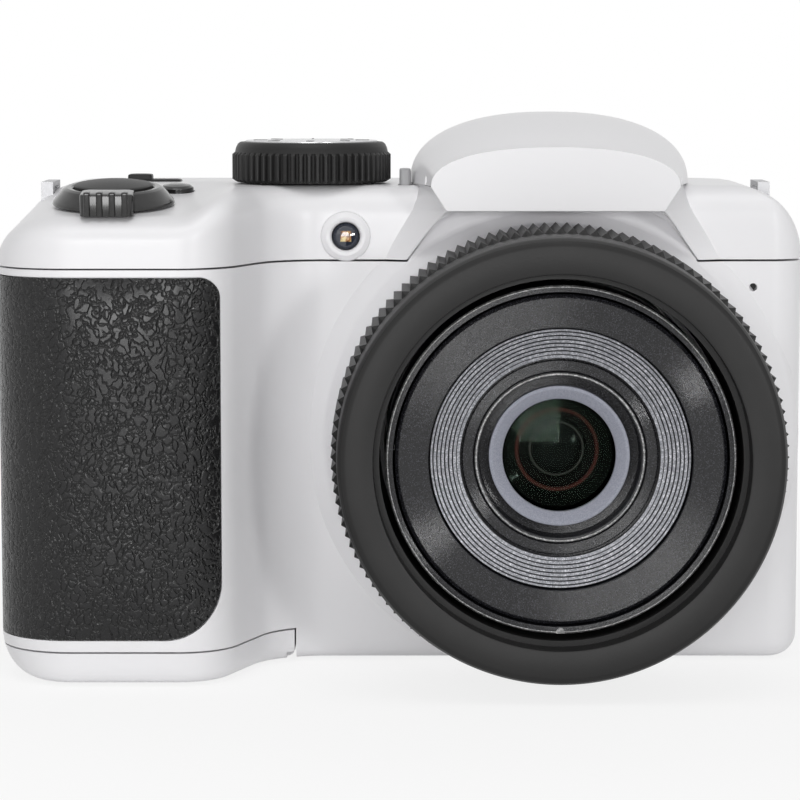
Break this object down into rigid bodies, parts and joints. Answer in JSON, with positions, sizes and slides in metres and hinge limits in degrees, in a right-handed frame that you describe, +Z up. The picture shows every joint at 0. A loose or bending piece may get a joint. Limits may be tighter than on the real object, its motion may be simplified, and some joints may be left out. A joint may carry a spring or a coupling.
{
  "type": "bridge camera",
  "caption": "White bridge camera with a hand grip, a knurled lens collar round a telescoping zoom lens, a pop-up flash hump, a mode dial and a battery door under the grip.",
  "frame": {"origin": "mouth of the tripod socket in the base, below the lens axis", "axes": "+X to the right seen from the front, along the longest side; -Y the way the lens looks; +Z up"},
  "size_m": [0.1185, 0.0732, 0.0818],
  "materials": {
    "white_shell": "smooth moulded white with a soft gloss",
    "grip_rubber": "leather-grained rubber",
    "black_plastic": "satin black",
    "grey_plastic": "mid grey moulding",
    "grey_trim": "satin grey metal",
    "steel": "bright steel",
    "brass": "machined",
    "lens_glass": "coated glass",
    "screen": "dark screen window",
    "clear_glass": "clear",
    "mirror": "polished reflector",
    "amber": "amber lamp lens",
    "board": "circuit board"
  },
  "bodies": {
    "camera_body": {"front_cover": "white_shell", "rear_cover": "white_shell", "top_cover": "white_shell", "grip_skin": "grip_rubber", "thumb_rest": "grip_rubber", "strap_lugs": "steel", "case_screws": "steel", "tripod_socket": "brass", "chassis": "steel", "battery_box": "black_plastic", "battery_cells": "steel", "battery_contacts": "steel", "card_socket": "steel", "circuit_boards": "board", "port_connector": "steel", "flash_hinge_pin": "steel", "flash_capacitor": "black_plastic", "af_lamp_bezel": "white_shell", "af_lamp_lens": "amber", "microphone": "black_plastic", "speaker": "black_plastic", "screen_glass": "screen", "lcd_panel": "grey_plastic", "lens_ring": "black_plastic", "lens_housing": "black_plastic", "zoom_motor": "steel", "sensor_plate": "steel", "image_sensor": "board"},
    "door_slider": {"door_slider": "steel", "door_hinge_pin": "steel"},
    "battery_door": {"battery_door": "white_shell", "door_contacts": "steel"},
    "port_door": {"port_door": "white_shell"},
    "flash_lid": {"flash_lid": "white_shell", "flash_reflector": "mirror", "flash_tube": "clear_glass", "flash_window": "clear_glass"},
    "flash_button": {"flash_button": "grey_plastic"},
    "mode_dial": {"mode_dial": "black_plastic", "dial_cap": "steel"},
    "zoom_lever": {"zoom_lever": "black_plastic"},
    "shutter_button": {"shutter_button": "black_plastic"},
    "drive_button": {"drive_button": "grey_plastic"},
    "power_switch": {"power_switch": "black_plastic"},
    "record_button": {"record_button": "black_plastic"},
    "play_button": {"play_button": "black_plastic"},
    "menu_button": {"menu_button": "black_plastic"},
    "delete_button": {"delete_button": "black_plastic"},
    "four_way_pad": {"four_way_pad": "black_plastic"},
    "ok_button": {"ok_button": "black_plastic"},
    "cam_ring": {"cam_ring": "grey_plastic"},
    "outer_barrel": {"outer_barrel": "black_plastic"},
    "inner_barrel": {"inner_barrel": "black_plastic", "ribbed_ring": "grey_trim", "lens_retainer": "grey_trim", "front_lens": "lens_glass"},
    "zoom_group": {"zoom_group": "black_plastic"},
    "focus_group": {"focus_group": "black_plastic"},
    "focus_screw": {"focus_screw": "steel"},
    "zoom_pinion": {"zoom_pinion": "brass"}
  },
  "joints": [
    {"name": "outer_barrel_slide", "type": "slide", "parent": "camera_body", "child": "outer_barrel", "axis": [0, -1, 0], "range_m": [0, 0.02]},
    {"name": "inner_barrel_slide", "type": "slide", "parent": "outer_barrel", "child": "inner_barrel", "axis": [0, -1, 0], "range_m": [0, 0.024]},
    {"name": "zoom_group_slide", "type": "slide", "parent": "inner_barrel", "child": "zoom_group", "axis": [0, -1, 0], "range_m": [0, 0.01]},
    {"name": "cam_ring_turn", "type": "hinge", "parent": "camera_body", "child": "cam_ring", "pos_m": [0, 0, 0.0338], "axis": [0, -1, 0], "range_deg": [0, 120]},
    {"name": "zoom_pinion_turn", "type": "hinge", "parent": "camera_body", "child": "zoom_pinion", "pos_m": [-0.02516, 0, 0.01291], "axis": [0, -1, 0], "range_deg": [-628, 0]},
    {"name": "focus_slide", "type": "slide", "parent": "camera_body", "child": "focus_group", "axis": [0, -1, 0], "range_m": [-0.001, 0.0015]},
    {"name": "focus_screw_turn", "type": "hinge", "parent": "camera_body", "child": "focus_screw", "pos_m": [0, 0, 0.0538], "axis": [0, -1, 0], "range_deg": [-150, 220]},
    {"name": "mode_dial_turn", "type": "hinge", "parent": "camera_body", "child": "mode_dial", "pos_m": [-0.036, -0.004, 0.074], "axis": [0, 0, 1], "continuous": true},
    {"name": "zoom_lever_turn", "type": "hinge", "parent": "camera_body", "child": "zoom_lever", "pos_m": [-0.0644, -0.022, 0.06849], "axis": [0, -0.1132, 0.9936], "range_deg": [-20, 20], "stiffness_Nm_per_rad": 0.02},
    {"name": "shutter_press", "type": "slide", "parent": "camera_body", "child": "shutter_button", "axis": [0, 0.1132, -0.9936], "range_m": [0, 0.0011], "stiffness_N_per_m": 600},
    {"name": "drive_press", "type": "slide", "parent": "camera_body", "child": "drive_button", "axis": [0, 0.1132, -0.9936], "range_m": [0, 0.0007], "stiffness_N_per_m": 500},
    {"name": "power_slide", "type": "slide", "parent": "camera_body", "child": "power_switch", "axis": [1, 0, 0], "range_m": [0, 0.0044]},
    {"name": "flash_button_press", "type": "slide", "parent": "camera_body", "child": "flash_button", "axis": [0, 0, -1], "range_m": [0, 0.0008], "stiffness_N_per_m": 500},
    {"name": "record_press", "type": "slide", "parent": "camera_body", "child": "record_button", "axis": [0, -1, 0], "range_m": [0, 0.0006], "stiffness_N_per_m": 500},
    {"name": "play_press", "type": "slide", "parent": "camera_body", "child": "play_button", "axis": [0, -1, 0], "range_m": [0, 0.0006], "stiffness_N_per_m": 500},
    {"name": "menu_press", "type": "slide", "parent": "camera_body", "child": "menu_button", "axis": [0, -1, 0], "range_m": [0, 0.0006], "stiffness_N_per_m": 500},
    {"name": "delete_press", "type": "slide", "parent": "camera_body", "child": "delete_button", "axis": [0, -1, 0], "range_m": [0, 0.0006], "stiffness_N_per_m": 500},
    {"name": "four_way_tilt", "type": "hinge", "parent": "camera_body", "child": "four_way_pad", "pos_m": [-0.0535, 0.01875, 0.0265], "axis": [1, 0, 0], "range_deg": [-2.5, 2.5], "stiffness_Nm_per_rad": 0.2},
    {"name": "ok_press", "type": "slide", "parent": "camera_body", "child": "ok_button", "axis": [0, -1, 0], "range_m": [0, 0.0006], "stiffness_N_per_m": 500},
    {"name": "flash_lid_hinge", "type": "hinge", "parent": "camera_body", "child": "flash_lid", "pos_m": [0, 0.0175, 0.0727], "axis": [-1, 0, 0], "range_deg": [0, 55]},
    {"name": "door_slide", "type": "slide", "parent": "camera_body", "child": "door_slider", "axis": [-1, 0, 0], "range_m": [0, 0.003]},
    {"name": "door_hinge", "type": "hinge", "parent": "door_slider", "child": "battery_door", "pos_m": [-0.0396, -0.005, 0.00125], "axis": [0, -1, 0], "range_deg": [0, 95]},
    {"name": "port_door_hinge", "type": "hinge", "parent": "camera_body", "child": "port_door", "pos_m": [0.0369, 0.016, 0.038], "axis": [0, 0, 1], "range_deg": [0, 110]}
  ],
  "couplings": [
    {"joint": "inner_barrel_slide", "follows": "outer_barrel_slide", "ratio": 1.2},
    {"joint": "zoom_group_slide", "follows": "outer_barrel_slide", "ratio": 0.5},
    {"joint": "cam_ring_turn", "follows": "outer_barrel_slide", "rad_per_m": 104.72},
    {"joint": "zoom_pinion_turn", "follows": "outer_barrel_slide", "rad_per_m": -547.76},
    {"joint": "focus_screw_turn", "follows": "focus_slide", "rad_per_m": 2513.3}
  ]
}
